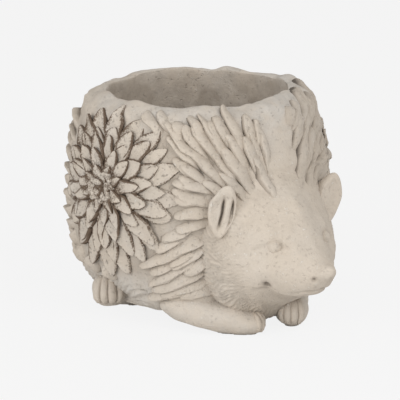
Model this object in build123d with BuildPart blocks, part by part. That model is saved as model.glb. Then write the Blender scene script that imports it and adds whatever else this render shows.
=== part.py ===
from build123d import *
import os
from math import asin, cos, degrees, hypot, radians, sin, sqrt

# A cast hedgehog planter: a round pot with a head, legs, quills and a flower on each flank.
# Millimetres and degrees. +Z is up, the head looks along -Y, the animal's right is -X.

# Pot shell, turned about an upright axis
BELLY_RADIUS = 79.0
BELLY_HEIGHT = 72.0
RIM_RADIUS = 67.0
RIM_HEIGHT = 137.0
RIM_ROUND = 4.0
BASE_RADIUS = 50.0
BASE_HEIGHT = 8.0
MOUTH_RADIUS = 55.5
FLOOR_RADIUS = 49.0
FLOOR_THICKNESS = 14.0
DRAIN_RADIUS = 7.0

# Mortar bed between two cast pieces, and the running room of the plug
BED = 0.15
PLUG_CLEARANCE = 0.3

# Drain plug
PLUG_LIP = 4.0
PLUG_LIP_THICKNESS = 3.0
PLUG_STEM_SHORT = 2.0
PLUG_KNOB_RADIUS = 4.0
PLUG_KNOB_HEIGHT = 7.0
PLUG_ROUND = 1.0

# Head: five oval sections, each reach measured from the front of the belly
FACE_HEIGHT = 63.0
COLLAR_REACH = -14.0
COLLAR_WIDTH = 96.0
COLLAR_TALL = 82.0
BROW_REACH = 6.0
BROW_WIDTH = 76.0
BROW_TALL = 67.0
BROW_DROP = 1.0
EYE_REACH = 21.0
EYE_LEVEL_WIDTH = 47.0
EYE_LEVEL_TALL = 45.0
EYE_DROP = 8.0
MUZZLE_REACH = 36.0
MUZZLE_WIDTH = 29.0
MUZZLE_TALL = 28.0
MUZZLE_DROP = 15.0
SNOUT_REACH = 48.0
SNOUT_WIDTH = 17.0
SNOUT_TALL = 16.0
SNOUT_DROP = 17.5
NOSE_RADIUS = 8.0
NOSE_STAND_OUT = 5.0

# Eyes and ears, set round the head's oval sections
EYE_LENGTH = 14.0
EYE_THICKNESS = 8.0
EYE_ANGLE = 16.0
EYE_SLANT = 15.0
EYE_SINK = 2.0
EAR_ANGLE = 33.0
EAR_OUT = 7.0
EAR_WIDTH = 26.0
EAR_TALL = 30.0
EAR_THICKNESS = 11.0
EAR_SCOOP_DEPTH = 5.0
EAR_SCOOP_RADIUS = 14.0
EAR_TURN = 38.0
EAR_LEAN = 18.0
EAR_BEHIND_BROW = 4.0

# Legs: round limbs cut flat at the sole
LEG_ABOVE_BASE = 1.5
SOLE_DEPTH = 1.2
ELBOW_OUT = 4.0
ELBOW_ANGLE = 55.0
PAW_OUT = 22.0
PAW_ANGLE = 10.0
HEEL_IN = 14.0
HIND_FOOT_IN = 2.0
HIND_ANGLE = 113.0
TOE_COUNT = 4
TOE_LENGTH = 15.0
TOE_WIDTH = 5.2
TOE_RISE = 1.6
TOE_ROOT = 3.0
TOE_SPREAD = 30.0

# Quills: almond blades with sloping sides, rooted in the shell
QUILL_LENGTH = 19.0
QUILL_WIDTH = 9.4
QUILL_RISE = 3.6
QUILL_ROOT = 2.0
QUILL_LIFT = 4.0
QUILL_PITCH = 8.3
QUILL_ROW_STEP = 17.8
QUILL_ROWS = 6
QUILL_CLEARANCE = 1.0
BLADE_TAPER = 24.0
BROW_LAST_ANGLE = 80.0
BACK_COLUMN_COUNT = 3
BACK_LOWEST = 24.0
STRIP_WIDTH = 13.0
STRIP_THICKNESS = 2.4

# Flower on each flank: three rings of almond petals stepped up to a domed heart
FLOWER_ANGLE = 80.0
FLOWER_HEIGHT = 88.0
LAYER = 2.6
HEART_RADIUS = 9.0
HEART_RISE = 3.0
OUTER_TIP = 48.0
OUTER_LENGTH = 21.0
OUTER_WIDTH = 12.4
OUTER_COUNT = 17
MIDDLE_TIP = 36.0
MIDDLE_LENGTH = 19.0
MIDDLE_WIDTH = 10.2
MIDDLE_COUNT = 15
INNER_TIP = 24.0
INNER_LENGTH = 14.0
INNER_WIDTH = 7.6
INNER_COUNT = 12

# Values worked out from the driving dimensions
RIM_INSET = BELLY_RADIUS - RIM_RADIUS
RIM_RISE = RIM_HEIGHT - BELLY_HEIGHT
UPPER_BEND = 2 * RIM_INSET / (RIM_INSET**2 + RIM_RISE**2)
RIM_SLOPE = UPPER_BEND * RIM_RISE / (1 - UPPER_BEND * RIM_INSET)
FLOOR_TOP = BASE_HEIGHT + FLOOR_THICKNESS
NOSE_REACH = BELLY_RADIUS + SNOUT_REACH + NOSE_STAND_OUT
AXIS_Y = (NOSE_REACH - BELLY_RADIUS - QUILL_RISE) / 2
LEG_HEIGHT = BASE_HEIGHT + LEG_ABOVE_BASE
LEG_RADIUS = LEG_HEIGHT + SOLE_DEPTH
ABOVE_RIM = 2 * QUILL_LENGTH
FLOWER_DEPTH = BELLY_RADIUS / 2
SLOPE_STEP = 0.01

POT_AXIS = Axis((0, AXIS_Y, 0), (0, 0, 1))
POT_PROFILE = Plane(origin=(0, AXIS_Y, 0), x_dir=(1, 0, 0), z_dir=(0, -1, 0))
RIM_PLANE = Plane.XY.offset(RIM_HEIGHT)


def shell_radius(height):
    """Outer radius: an oval below the belly, a wide arc to the rim, a straight line above it."""
    if height > RIM_HEIGHT:
        return RIM_RADIUS - RIM_SLOPE * (height - RIM_HEIGHT)
    if height >= BELLY_HEIGHT:
        rise = height - BELLY_HEIGHT
        return BELLY_RADIUS - UPPER_BEND * rise**2 / (1 + sqrt(1 - (UPPER_BEND * rise) ** 2))
    drop = (BELLY_HEIGHT - height) / (BELLY_HEIGHT - BASE_HEIGHT)
    return BASE_RADIUS + (BELLY_RADIUS - BASE_RADIUS) * sqrt(max(0.0, 1 - drop**2))


def shell_envelope(grow):
    """The shell's outer form as a full body, grown outwards and carried on above the rim."""
    top = RIM_HEIGHT + ABOVE_RIM
    middle = (BELLY_HEIGHT + RIM_HEIGHT) / 2
    belly = (BELLY_RADIUS + grow, BELLY_HEIGHT)
    with BuildPart() as envelope:
        with BuildSketch(POT_PROFILE):
            with BuildLine():
                EllipticalCenterArc(
                    (BASE_RADIUS, BELLY_HEIGHT),
                    BELLY_RADIUS - BASE_RADIUS + grow,
                    BELLY_HEIGHT - BASE_HEIGHT + grow,
                    start_angle=-90,
                    arc_size=90,
                )
                ThreePointArc(
                    belly,
                    (shell_radius(middle) + grow, middle),
                    (RIM_RADIUS + grow, RIM_HEIGHT),
                )
                Polyline(
                    (RIM_RADIUS + grow, RIM_HEIGHT),
                    (shell_radius(top) + grow, top),
                    (0, top),
                    (0, BASE_HEIGHT - grow),
                    (BASE_RADIUS, BASE_HEIGHT - grow),
                )
            make_face()
        revolve(axis=POT_AXIS)
    return envelope.part


def shell_point(angle, height, out=0.0):
    """A point at an angle from the head towards the right flank, out from the shell's skin."""
    radius = shell_radius(height) + out
    return Vector(-radius * sin(radians(angle)), AXIS_Y - radius * cos(radians(angle)), height)


def shell_plane(angle, height, turn=0.0, lift=0.0):
    """A plane on the shell: its normal points out, its x axis is turned from up to the flank."""
    rise = shell_radius(height + SLOPE_STEP) - shell_radius(height - SLOPE_STEP)
    slope = rise / (2 * SLOPE_STEP)
    outward = Vector(-sin(radians(angle)), -cos(radians(angle)), 0)
    normal = Vector(outward.X, outward.Y, -slope).normalized()
    upward = Vector(outward.X * slope, outward.Y * slope, 1).normalized()
    around = Vector(-cos(radians(angle)), sin(radians(angle)), 0)
    along = upward * cos(radians(turn)) + around * sin(radians(turn))
    raised_along = along * cos(radians(lift)) + normal * sin(radians(lift))
    raised_normal = normal * cos(radians(lift)) - along * sin(radians(lift))
    return Plane(origin=shell_point(angle, height), x_dir=raised_along, z_dir=raised_normal)


def spindle(length, width):
    """A blade pointed at both ends: an arc turned about its own chord."""
    with BuildPart() as blade:
        with BuildSketch(Plane.XZ):
            with BuildLine():
                ThreePointArc((-length / 2, 0), (0, width / 2), (length / 2, 0))
                Line((length / 2, 0), (-length / 2, 0))
            make_face()
        revolve(axis=Axis.X)
    return blade.part


def almond(length, width):
    """A leaf outline between two arcs."""
    with BuildSketch() as outline:
        with BuildLine():
            ThreePointArc((-length / 2, 0), (0, -width / 2), (length / 2, 0))
            ThreePointArc((length / 2, 0), (0, width / 2), (-length / 2, 0))
        make_face()
    return outline.sketch


def blade(length, width, rise, root):
    """A leaf-shaped blade with sloping sides, rooted below the face it lies on."""
    outline = almond(length, width)
    with BuildPart() as form:
        with BuildSketch(Plane.XY.offset(-root)):
            add(outline)
        extrude(amount=root + rise, taper=BLADE_TAPER)
    return form.part


def head_form(grow):
    """The head's full form: a loft through oval sections from the collar to the snout."""
    sections = [
        (COLLAR_REACH, COLLAR_WIDTH, COLLAR_TALL, 0.0),
        (BROW_REACH, BROW_WIDTH, BROW_TALL, BROW_DROP),
        (EYE_REACH, EYE_LEVEL_WIDTH, EYE_LEVEL_TALL, EYE_DROP),
        (MUZZLE_REACH, MUZZLE_WIDTH, MUZZLE_TALL, MUZZLE_DROP),
        (SNOUT_REACH + grow, SNOUT_WIDTH, SNOUT_TALL, SNOUT_DROP),
    ]
    with BuildPart() as form:
        for reach, width, tall, drop in sections:
            with BuildSketch(head_plane(reach, drop)):
                Ellipse(width / 2 + grow, tall / 2 + grow)
        loft()
    return form.part


def head_plane(reach, drop):
    """An upright plane across the head, its normal towards the nose."""
    return Plane(
        origin=(0, AXIS_Y - BELLY_RADIUS - reach, FACE_HEIGHT - drop),
        x_dir=(1, 0, 0),
        z_dir=(0, -1, 0),
    )


def limb(start, end, radius):
    """A round-ended limb between two points, cut flat on the ground."""
    along = end - start
    reach = along.length
    sideways = along.cross(Vector(0, 0, 1)).normalized()
    with BuildPart() as form:
        with BuildSketch(Plane(origin=start, x_dir=along.normalized(), z_dir=sideways)):
            with BuildLine():
                RadiusArc((-radius, 0), (0, radius), radius)
                Line((0, radius), (reach, radius))
                RadiusArc((reach, radius), (reach + radius, 0), radius)
                Line((reach + radius, 0), (-radius, 0))
            make_face()
        revolve(axis=Axis(start, along))
        split(bisect_by=Plane.XY, keep=Keep.TOP)
    return form.part


def toe_planes(start, end, radius):
    """Upright blades spread round the end of a limb."""
    along = (end - start).normalized()
    middle = (TOE_COUNT - 1) / 2
    planes = []
    for number in range(TOE_COUNT):
        facing = along.rotate(Axis.Z, (number - middle) * TOE_SPREAD)
        planes.append(Plane(origin=end + facing * radius, x_dir=(0, 0, 1), z_dir=facing))
    return planes


def places(planes):
    """Locations of a list of planes."""
    return [plane.location for plane in planes]


def oval(wide, tall, direction):
    """Distance from an oval's centre to its edge, in a direction turned from up."""
    return 1 / hypot(sin(radians(direction)) / wide, cos(radians(direction)) / tall)


def fan_row(centre_angle, centre_height, wide, tall, out):
    """Angle, height and direction of quills a pitch apart on an oval row round a centre."""
    row = []
    direction = 0.0
    while direction < 180.0:
        distance = oval(wide, tall, direction) + out
        height = centre_height + distance * cos(radians(direction))
        if BASE_HEIGHT < height < RIM_HEIGHT:
            arc = distance * sin(radians(direction))
            row.append((centre_angle + degrees(arc / shell_radius(height)), height, direction))
        direction += degrees(QUILL_PITCH / distance)
    return row


def fits(quill_place):
    """True where a quill lies clear of the rim, the legs, the flower and the two middle bands."""
    angle, height, direction = quill_place
    half_rise = cos(radians(direction)) * QUILL_LENGTH / 2
    half_turn = degrees(sin(radians(direction)) * QUILL_LENGTH / 2 / shell_radius(height))
    for share in (-1, 0, 1):
        at_height = height + share * half_rise
        at_angle = angle + share * half_turn
        if not LEG_HEIGHT + LEG_RADIUS < at_height < RIM_HEIGHT:
            return False
        girth = radians(1) * shell_radius(at_height)
        half_width = QUILL_WIDTH / 2 if share == 0 else 0.0
        if at_angle * girth < STRIP_WIDTH / 2 + half_width + QUILL_CLEARANCE:
            return False
        if (180 - at_angle) * girth < BACK_COLUMN_COUNT * QUILL_PITCH / 2 + half_width:
            return False
        spot = flower.to_local_coords(shell_point(at_angle, at_height))
        from_middle = hypot(spot.X, spot.Y)
        if spot.Z > -FLOWER_DEPTH and from_middle < OUTER_TIP + half_width + QUILL_CLEARANCE:
            return False
    return True


def quill_group(quill_places):
    """A group of separate quills lying on the shell."""
    spots = [
        shell_plane(angle, height, direction, QUILL_LIFT).location
        for angle, height, direction in quill_places
    ]
    with BuildPart() as group:
        with Locations(*spots):
            add(quill)
        add(shell_bed, mode=Mode.SUBTRACT)
    return group.part


# Bodies that other pieces are cut by
shell_bed = shell_envelope(BED)
above_quills = shell_envelope(QUILL_RISE + QUILL_CLEARANCE)
head_bed = head_form(BED)
quill = blade(QUILL_LENGTH, QUILL_WIDTH, QUILL_RISE, QUILL_ROOT)
toe = blade(TOE_LENGTH, TOE_WIDTH, TOE_RISE, TOE_ROOT)

# Pot shell: floor with a drain hole, tapered planting cavity, rounded rim
with BuildPart() as pot_shell:
    with BuildSketch(POT_PROFILE):
        with BuildLine():
            EllipticalCenterArc(
                (BASE_RADIUS, BELLY_HEIGHT),
                BELLY_RADIUS - BASE_RADIUS,
                BELLY_HEIGHT - BASE_HEIGHT,
                start_angle=-90,
                arc_size=90,
            )
            middle_height = (BELLY_HEIGHT + RIM_HEIGHT) / 2
            ThreePointArc(
                (BELLY_RADIUS, BELLY_HEIGHT),
                (shell_radius(middle_height), middle_height),
                (RIM_RADIUS, RIM_HEIGHT),
            )
            Polyline(
                (RIM_RADIUS, RIM_HEIGHT),
                (MOUTH_RADIUS, RIM_HEIGHT),
                (FLOOR_RADIUS, FLOOR_TOP),
                (DRAIN_RADIUS, FLOOR_TOP),
                (DRAIN_RADIUS, BASE_HEIGHT),
                (BASE_RADIUS, BASE_HEIGHT),
            )
        make_face()
    revolve(axis=POT_AXIS)
    fillet(pot_shell.edges().group_by(Axis.Z)[-1], min(RIM_ROUND, (RIM_RADIUS - MOUTH_RADIUS) / 3))

# Drain plug: stem in the drain hole, lip on the floor, knob to pull it by
with BuildPart() as drain_plug:
    with BuildSketch(POT_PROFILE):
        with BuildLine():
            stem_radius = DRAIN_RADIUS - PLUG_CLEARANCE
            lip_radius = DRAIN_RADIUS + PLUG_LIP
            lip_top = FLOOR_TOP + PLUG_LIP_THICKNESS
            Polyline(
                (0, BASE_HEIGHT + PLUG_STEM_SHORT),
                (stem_radius, BASE_HEIGHT + PLUG_STEM_SHORT),
                (stem_radius, FLOOR_TOP),
                (lip_radius, FLOOR_TOP),
                (lip_radius, lip_top),
                (PLUG_KNOB_RADIUS, lip_top),
                (PLUG_KNOB_RADIUS, lip_top + PLUG_KNOB_HEIGHT),
                (0, lip_top + PLUG_KNOB_HEIGHT),
                close=True,
            )
        make_face()
    revolve(axis=POT_AXIS)
    fillet(drain_plug.edges().group_by(Axis.Z)[-1], PLUG_ROUND)

# Head, cut to sit on the shell
with BuildPart() as head:
    add(head_form(0.0))
    add(shell_bed, mode=Mode.SUBTRACT)

# Nose pad on the snout
with BuildPart() as nose:
    with Locations(head_plane(SNOUT_REACH + NOSE_STAND_OUT - NOSE_RADIUS, SNOUT_DROP).location):
        Sphere(NOSE_RADIUS)
    add(head_bed, mode=Mode.SUBTRACT)

# Eyes: almond bulges on the oval of the eye section
eye_x = EYE_LEVEL_WIDTH / 2 * cos(radians(EYE_ANGLE))
eye_z = EYE_LEVEL_TALL / 2 * sin(radians(EYE_ANGLE))
eye_front = head_plane(EYE_REACH, EYE_DROP)
eye_outward = Vector(-1, -1, 0).normalized()
eye_level = Vector(-1, 1, 0).normalized()
eye_along = eye_level * cos(radians(EYE_SLANT)) + Vector(0, 0, 1) * sin(radians(EYE_SLANT))
with BuildPart() as right_eye:
    with Locations(
        Plane(
            origin=eye_front.from_local_coords((-eye_x, eye_z, 0)) - eye_outward * EYE_SINK,
            x_dir=eye_along,
            z_dir=eye_outward,
        ).location
    ):
        add(spindle(EYE_LENGTH, EYE_THICKNESS))
    add(head_bed, mode=Mode.SUBTRACT)

# Ears: scooped oval cups on the oval of the brow section
ear_x = BROW_WIDTH / 2 * cos(radians(EAR_ANGLE))
ear_z = BROW_TALL / 2 * sin(radians(EAR_ANGLE))
ear_side = Vector(-cos(radians(EAR_ANGLE)), 0, sin(radians(EAR_ANGLE)))
ear_root = head_plane(BROW_REACH - EAR_BEHIND_BROW, BROW_DROP).from_local_coords((-ear_x, ear_z, 0))
ear_facing = Vector(-sin(radians(EAR_TURN)), -cos(radians(EAR_TURN)), 0)
ear_up = Vector(0, 0, 1).rotate(Axis((0, 0, 0), ear_facing), -EAR_LEAN)
ear_plane = Plane(
    origin=ear_root + ear_side * EAR_OUT,
    x_dir=ear_up.cross(ear_facing),
    z_dir=ear_facing,
)
with BuildPart() as right_ear:
    with BuildSketch(ear_plane):
        Ellipse(EAR_WIDTH / 2, EAR_TALL / 2)
    extrude(amount=EAR_THICKNESS / 2, both=True)
    fillet(right_ear.edges(), EAR_THICKNESS / 4)
    scoop_out = EAR_THICKNESS / 2 + EAR_SCOOP_RADIUS - EAR_SCOOP_DEPTH
    with Locations(ear_plane.offset(scoop_out).location):
        Sphere(EAR_SCOOP_RADIUS, mode=Mode.SUBTRACT)
    add(head_bed, mode=Mode.SUBTRACT)
    add(above_quills, mode=Mode.SUBTRACT)

# Legs and toes
elbow = shell_point(ELBOW_ANGLE, LEG_HEIGHT, ELBOW_OUT)
paw = shell_point(PAW_ANGLE, LEG_HEIGHT, PAW_OUT)
heel = shell_point(HIND_ANGLE, LEG_HEIGHT, -HIND_FOOT_IN - HEEL_IN)
hind_paw = shell_point(HIND_ANGLE, LEG_HEIGHT, -HIND_FOOT_IN)
front_toe_bed = limb(elbow, paw, LEG_RADIUS + BED)
hind_toe_bed = limb(heel, hind_paw, LEG_RADIUS + BED)

with BuildPart() as right_front_leg:
    add(limb(elbow, paw, LEG_RADIUS))
    add(shell_bed, mode=Mode.SUBTRACT)

with BuildPart() as right_front_toes:
    with Locations(*places(toe_planes(elbow, paw, LEG_RADIUS))):
        add(toe)
    add(front_toe_bed, mode=Mode.SUBTRACT)

with BuildPart() as right_hind_foot:
    add(limb(heel, hind_paw, LEG_RADIUS))
    add(shell_bed, mode=Mode.SUBTRACT)

with BuildPart() as right_hind_toes:
    with Locations(*places(toe_planes(heel, hind_paw, LEG_RADIUS))):
        add(toe)
    add(hind_toe_bed, mode=Mode.SUBTRACT)
    add(shell_bed, mode=Mode.SUBTRACT)

# Flower: its middle on the flank, its rings cut from layers that follow the shell
flower = shell_plane(FLOWER_ANGLE, FLOWER_HEIGHT)
first_layer = shell_envelope(LAYER)
second_bed = shell_envelope(LAYER + BED)
second_layer = shell_envelope(2 * LAYER)
third_bed = shell_envelope(2 * LAYER + BED)
third_layer = shell_envelope(3 * LAYER)


def petal_ring(tip, length, width, count, upper, lower):
    """A ring of almond petals between two layers over the shell."""
    outline = almond(length, width)
    with BuildPart() as ring:
        with BuildSketch(flower.offset(FLOWER_DEPTH)):
            with PolarLocations(tip - length / 2, count):
                add(outline)
        extrude(amount=-2 * FLOWER_DEPTH)
        add(upper, mode=Mode.INTERSECT)
        add(lower, mode=Mode.SUBTRACT)
        split(bisect_by=RIM_PLANE, keep=Keep.BOTTOM)
    return ring.part


def boss_step(radius, upper):
    """One step of the boss under the petals."""
    with BuildPart() as step:
        with BuildSketch(flower.offset(FLOWER_DEPTH)):
            Circle(radius)
        extrude(amount=-2 * FLOWER_DEPTH)
        add(upper, mode=Mode.INTERSECT)
        add(shell_bed, mode=Mode.SUBTRACT)
    return step.part


outer_ring = petal_ring(OUTER_TIP, OUTER_LENGTH, OUTER_WIDTH, OUTER_COUNT, first_layer, shell_bed)
middle_ring = petal_ring(
    MIDDLE_TIP, MIDDLE_LENGTH, MIDDLE_WIDTH, MIDDLE_COUNT, second_layer, second_bed
)
inner_ring = petal_ring(INNER_TIP, INNER_LENGTH, INNER_WIDTH, INNER_COUNT, third_layer, third_bed)
low_step = boss_step(OUTER_TIP - OUTER_LENGTH - BED, first_layer)
high_step = boss_step(MIDDLE_TIP - MIDDLE_LENGTH - BED, second_layer)
heart_radius = min(HEART_RADIUS, INNER_TIP - INNER_LENGTH - BED)
dome_radius = (heart_radius**2 + HEART_RISE**2) / (2 * HEART_RISE)

with BuildPart() as right_outer_petals:
    add(outer_ring)

with BuildPart() as right_middle_petals:
    add(middle_ring)

with BuildPart() as right_inner_petals:
    add(inner_ring)

with BuildPart() as right_flower_heart:
    with BuildSketch(flower):
        Circle(heart_radius)
    extrude(amount=3 * LAYER + HEART_RISE)
    with Locations(flower.offset(3 * LAYER + HEART_RISE - dome_radius).location):
        Sphere(dome_radius, mode=Mode.INTERSECT)
    add(low_step)
    add(high_step)
    add(shell_bed, mode=Mode.SUBTRACT)

# Quills: rows round the face, rows round the back of the flower, columns down the back
face_wide = BELLY_RADIUS * asin(COLLAR_WIDTH / 2 / BELLY_RADIUS)
face_rows = []
rump_rows = []
for row in range(QUILL_ROWS):
    out = QUILL_CLEARANCE + QUILL_LENGTH / 2 + row * QUILL_ROW_STEP
    face_rows += fan_row(0, FACE_HEIGHT, face_wide, COLLAR_TALL / 2, out)
    flower_wide = BELLY_RADIUS * asin(OUTER_TIP / BELLY_RADIUS)
    rump_rows += fan_row(FLOWER_ANGLE, FLOWER_HEIGHT, flower_wide, OUTER_TIP, out)
face_side = [place for place in face_rows if place[0] < FLOWER_ANGLE and fits(place)]
rump_side = [place for place in rump_rows if place[0] > FLOWER_ANGLE and fits(place)]
brow_side = [place for place in face_side if place[2] < BROW_LAST_ANGLE]
cheek_side = [place for place in face_side if place[2] >= BROW_LAST_ANGLE]
back_room = RIM_HEIGHT - BACK_LOWEST
back_rows = int(back_room / QUILL_ROW_STEP)
back_columns = [
    (180 + degrees((column - (BACK_COLUMN_COUNT - 1) / 2) * QUILL_PITCH / BELLY_RADIUS), height, 180)
    for column in range(BACK_COLUMN_COUNT)
    for height in [BACK_LOWEST + QUILL_ROW_STEP * (row + 0.5) for row in range(back_rows)]
]

with BuildPart() as right_brow_quills:
    add(quill_group(brow_side))

with BuildPart() as right_cheek_quills:
    add(quill_group(cheek_side))

with BuildPart() as right_rump_quills:
    add(quill_group(rump_side))

with BuildPart() as back_quills:
    add(quill_group(back_columns))

# Smooth strip from the forehead to the rim
with BuildPart() as forehead_strip:
    with BuildSketch(Plane.XZ.offset(-AXIS_Y)):
        with Locations((0, (FACE_HEIGHT + RIM_HEIGHT) / 2)):
            Rectangle(STRIP_WIDTH, RIM_HEIGHT - FACE_HEIGHT)
    extrude(amount=2 * BELLY_RADIUS)
    add(shell_envelope(STRIP_THICKNESS), mode=Mode.INTERSECT)
    add(shell_bed, mode=Mode.SUBTRACT)
    add(head_bed, mode=Mode.SUBTRACT)

middle_pieces = {
    "pot_shell": pot_shell,
    "drain_plug": drain_plug,
    "head": head,
    "nose": nose,
    "forehead_strip": forehead_strip,
    "back_quills": back_quills,
}
side_pieces = {
    "eye": right_eye,
    "ear": right_ear,
    "front_leg": right_front_leg,
    "front_toes": right_front_toes,
    "hind_foot": right_hind_foot,
    "hind_toes": right_hind_toes,
    "outer_petals": right_outer_petals,
    "middle_petals": right_middle_petals,
    "inner_petals": right_inner_petals,
    "flower_heart": right_flower_heart,
    "brow_quills": right_brow_quills,
    "cheek_quills": right_cheek_quills,
    "rump_quills": right_rump_quills,
}

os.makedirs("parts", exist_ok=True)
for name, piece in middle_pieces.items():
    piece.part.label = name
    export_step(piece.part, f"parts/{name}.step")

# The left side is the right side mirrored
for name, piece in side_pieces.items():
    with BuildPart() as left_piece:
        mirror(piece.part, about=Plane.YZ)
    piece.part.label = f"right_{name}"
    export_step(piece.part, f"parts/right_{name}.step")
    left_piece.part.label = f"left_{name}"
    export_step(left_piece.part, f"parts/left_{name}.step")
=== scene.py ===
import math

import bpy
import numpy as np
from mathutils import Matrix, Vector
from mathutils.bvhtree import BVHTree


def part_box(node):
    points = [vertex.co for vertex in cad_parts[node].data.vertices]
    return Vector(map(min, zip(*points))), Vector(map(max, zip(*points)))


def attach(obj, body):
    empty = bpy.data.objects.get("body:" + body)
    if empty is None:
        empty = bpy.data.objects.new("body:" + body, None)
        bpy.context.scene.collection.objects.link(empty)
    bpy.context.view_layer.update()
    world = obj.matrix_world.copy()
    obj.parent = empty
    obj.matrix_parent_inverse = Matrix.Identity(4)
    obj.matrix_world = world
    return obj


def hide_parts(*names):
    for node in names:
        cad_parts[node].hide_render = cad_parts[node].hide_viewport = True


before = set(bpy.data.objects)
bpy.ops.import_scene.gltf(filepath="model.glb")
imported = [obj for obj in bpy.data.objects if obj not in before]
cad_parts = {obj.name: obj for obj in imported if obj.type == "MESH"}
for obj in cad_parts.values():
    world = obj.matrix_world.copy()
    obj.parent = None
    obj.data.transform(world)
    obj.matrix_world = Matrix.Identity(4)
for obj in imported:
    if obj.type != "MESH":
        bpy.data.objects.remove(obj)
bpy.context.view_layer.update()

# The looks of a cast cement hedgehog planter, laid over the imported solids.
# Lengths are millimetres until a mesh is made; angles are degrees, from the face to the flank.
MM = 0.001
RIGHT = -1
LEFT = 1
SIDES = {"right": RIGHT, "left": LEFT}

# Pot shell; its outer size is read from its solid
SHELL_LOW, SHELL_HIGH = (np.array(corner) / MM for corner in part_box("pot_shell"))
BELLY_RADIUS = (SHELL_HIGH[0] - SHELL_LOW[0]) / 2
AXIS_Y = (SHELL_HIGH[1] + SHELL_LOW[1]) / 2
RIM_HEIGHT = SHELL_HIGH[2]
BASE_HEIGHT = SHELL_LOW[2]
BELLY_HEIGHT = 72.0
RIM_RADIUS = 67.0
LIP_SLOPE = 6.0
LIP_FOOT = RIM_HEIGHT - LIP_SLOPE
LIP_TUCK = 5.0
BASE_RADIUS = 50.0
MOUTH_RADIUS = 55.5
FLOOR_RADIUS = 49.0
FLOOR_TOP = 22.0
DRAIN_RADIUS = 7.0
UPPER_CURVE = ((BELLY_RADIUS - RIM_RADIUS) ** 2 + (RIM_HEIGHT - BELLY_HEIGHT) ** 2) / (
    2 * (BELLY_RADIUS - RIM_RADIUS)
)

# Flower, face and ears on the shell
FLOWER_ANGLE = 80.0
FLOWER_HEIGHT = 88.0
FLOWER_REACH = 47.0
FACE_HEIGHT = 63.0
EAR_ARC = 36.0
EAR_OUT = 39.2
EAR_REACH = 79.0
EAR_HEIGHT = 80.5

# Colours, linear
CLAY = (0.585, 0.515, 0.435, 1)
BLOOM = (0.60, 0.57, 0.53, 1)
# Grit and mottle; also painted into hollows as shade
GRIT_AND_SHADE = (0.30, 0.255, 0.21, 1)
# Pale specks, painted as tiny highlights
HIGHLIGHT_SPECK = (0.72, 0.68, 0.62, 1)
# Dark pores; also painted into the deepest hollows as shade
PORE_AND_SHADE = (0.110, 0.092, 0.076, 1)
WASH = (0.105, 0.066, 0.040, 1)
RUBBER = (0.020, 0.019, 0.018, 1)
RUBBER_DUST = (0.085, 0.080, 0.074, 1)
BACKDROP = (0.930, 0.930, 0.930, 1)
FLOOR_PAPER = (0.86, 0.86, 0.86, 1)
DAYLIGHT = (1, 0.985, 0.965, 1)


# Shaping helpers


def ease(value, start, end):
    """Smooth step from 0 at start to 1 at end."""
    share = np.clip((value - start) / (end - start), 0, 1)
    return share * share * (3 - 2 * share)


def bell(value, width):
    """1 at zero, falling away smoothly over a width."""
    return np.exp(-((value / width) ** 2))


def full_turn(count):
    """Angles spread evenly round a circle, in radians."""
    return np.linspace(0, 2 * math.pi, count, endpoint=False)


def waves(points, size, seed, count=16):
    """Repeatable smooth noise about zero: plane waves of about the given size."""
    draw = np.random.default_rng(seed)
    directions = draw.normal(size=(count, 3))
    directions /= np.linalg.norm(directions, axis=1)[:, None]
    lengths = size * draw.uniform(0.7, 1.6, count)
    phases = draw.uniform(0, 2 * math.pi, count)
    swing = 2 * math.pi * points @ (directions / lengths[:, None]).T + phases
    return np.sin(swing).sum(axis=1) / math.sqrt(count)


def wobble(points, amounts, sizes, seed):
    """Smooth unevenness along each axis, of an amount and a size for all axes or for each."""
    rows = zip(np.broadcast_to(amounts, 3), np.broadcast_to(sizes, 3))
    moves = [amount * waves(points, size, seed + axis) for axis, (amount, size) in enumerate(rows)]
    return np.column_stack(moves)


def mound(points, centre, radius):
    """A soft hill of height 1 round a centre."""
    gap = (points - np.array(centre)) / radius
    return np.exp(-np.sum(gap * gap, axis=1))


def distance_to_line(points, corners):
    """Distance from each point to a line through corners."""
    nearest = np.full(len(points), np.inf)
    for start, end in zip(np.array(corners[:-1]), np.array(corners[1:])):
        along = end - start
        share = np.clip((points - start) @ along / (along @ along), 0, 1)
        gap = points - start - share[:, None] * along
        nearest = np.minimum(nearest, np.linalg.norm(gap, axis=1))
    return nearest


def curve_through(stations, count):
    """Smooth rows through given stations, evenly shared between them."""
    rows = np.array(stations, float)
    padded = np.vstack([2 * rows[0] - rows[1], rows, 2 * rows[-1] - rows[-2]])
    at = np.linspace(0, len(rows) - 1, count)
    first = np.minimum(at.astype(int), len(rows) - 2)
    t = (at - first)[:, None]
    before, start, end, after = (padded[first + step] for step in range(4))
    return 0.5 * (
        2 * start
        + (end - before) * t
        + (2 * before - 5 * start + 4 * end - after) * t**2
        + (3 * start - before - 3 * end + after) * t**3
    )


def tube_faces(rings, around, capped):
    """Quads between closed rings, with the ends capped or joined to each other."""
    faces = []
    last = rings - 1 if capped else rings
    for ring in range(last):
        here = ring * around
        there = (ring + 1) % rings * around
        for spot in range(around):
            after = (spot + 1) % around
            faces.append((here + spot, here + after, there + after, there + spot))
    if capped:
        faces.append(tuple(reversed(range(around))))
        faces.append(tuple(range((rings - 1) * around, rings * around)))
    return faces


def quads_of(faces):
    """The four-cornered faces as rows of point numbers."""
    return np.array([face for face in faces if len(face) == 4])


def facing_out(points, faces):
    """The faces, turned round where they point into the form."""
    middle = points.mean(axis=0)
    first, second, third, fourth = (points[corner] - middle for corner in quads_of(faces).T)
    inside = np.sum(np.cross(second - first, third - first) * (first + third), axis=1)
    inside += np.sum(np.cross(third - first, fourth - first) * (first + third), axis=1)
    if inside.sum() >= 0:
        return faces
    return [tuple(reversed(face)) for face in faces]


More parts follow.
